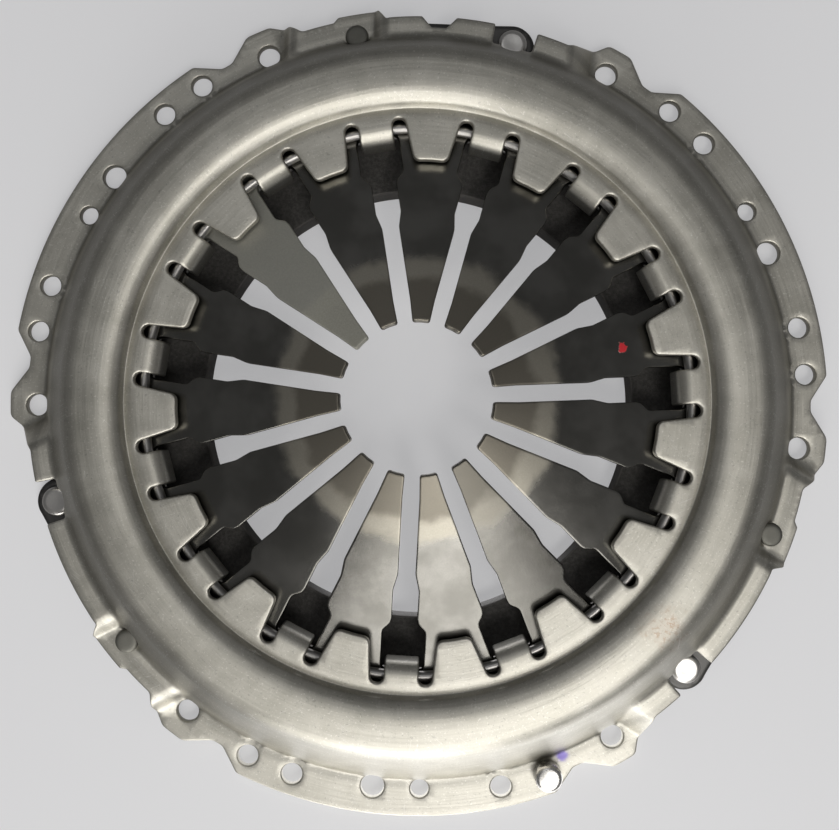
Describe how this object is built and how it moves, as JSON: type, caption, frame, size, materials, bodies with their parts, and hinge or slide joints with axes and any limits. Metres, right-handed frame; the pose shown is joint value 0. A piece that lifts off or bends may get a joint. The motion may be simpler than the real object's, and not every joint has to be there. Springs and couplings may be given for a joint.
{
  "type": "clutch pressure plate",
  "caption": "Domed pressed-steel clutch cover with a slotted diaphragm spring, a cast pressure plate on tangential leaf straps and a bolting flange.",
  "frame": {"origin": "centre of the flange's bolting face, on the axis of rotation", "axes": "+Z from the flywheel towards the release bearing, +Y through the middle of the first strap, +X completes the right-handed frame"},
  "size_m": [0.3214, 0.3131, 0.0501],
  "materials": {
    "pressed_steel": "bare deep-drawn steel, satin with fine draw marks and scratches",
    "spring_steel": "dark heat-treated spring steel, tips tempered to straw",
    "ring_wire": "drawn wire, oiled",
    "cast_iron": "grey iron, dark cast skin with a turned friction face",
    "strap_steel": "dark cold-rolled strap steel",
    "cover_rivet": "orbital-formed grey rivet heads",
    "plate_rivet": "bright formed rivet heads",
    "bright_rivet": "bright turned balance rivet"
  },
  "bodies": {
    "cover_assembly": {"cover": "pressed_steel", "diaphragm_spring": "spring_steel", "upper_fulcrum_ring": "ring_wire", "lower_fulcrum_ring": "ring_wire", "balance_rivet": "bright_rivet", "strap_1_leaf_1": "strap_steel", "strap_1_leaf_2": "strap_steel", "strap_1_leaf_3": "strap_steel", "strap_2_leaf_1": "strap_steel", "strap_2_leaf_2": "strap_steel", "strap_2_leaf_3": "strap_steel", "strap_3_leaf_1": "strap_steel", "strap_3_leaf_2": "strap_steel", "strap_3_leaf_3": "strap_steel", "cover_rivet_1": "cover_rivet", "cover_rivet_2": "cover_rivet", "cover_rivet_3": "cover_rivet"},
    "plate_assembly": {"pressure_plate": "cast_iron", "plate_rivet_1": "plate_rivet", "plate_rivet_2": "plate_rivet", "plate_rivet_3": "plate_rivet"}
  },
  "joints": [
    {"name": "plate_lift", "type": "slide", "parent": "cover_assembly", "child": "plate_assembly", "axis": [0, 0, 1], "range_m": [0, 0.0055], "stiffness_N_per_m": 20000, "springref_m": -0.005, "deforming": ["diaphragm_spring", "strap_1_leaf_1", "strap_1_leaf_2", "strap_1_leaf_3", "strap_2_leaf_1", "strap_2_leaf_2", "strap_2_leaf_3", "strap_3_leaf_1", "strap_3_leaf_2", "strap_3_leaf_3"]}
  ]
}
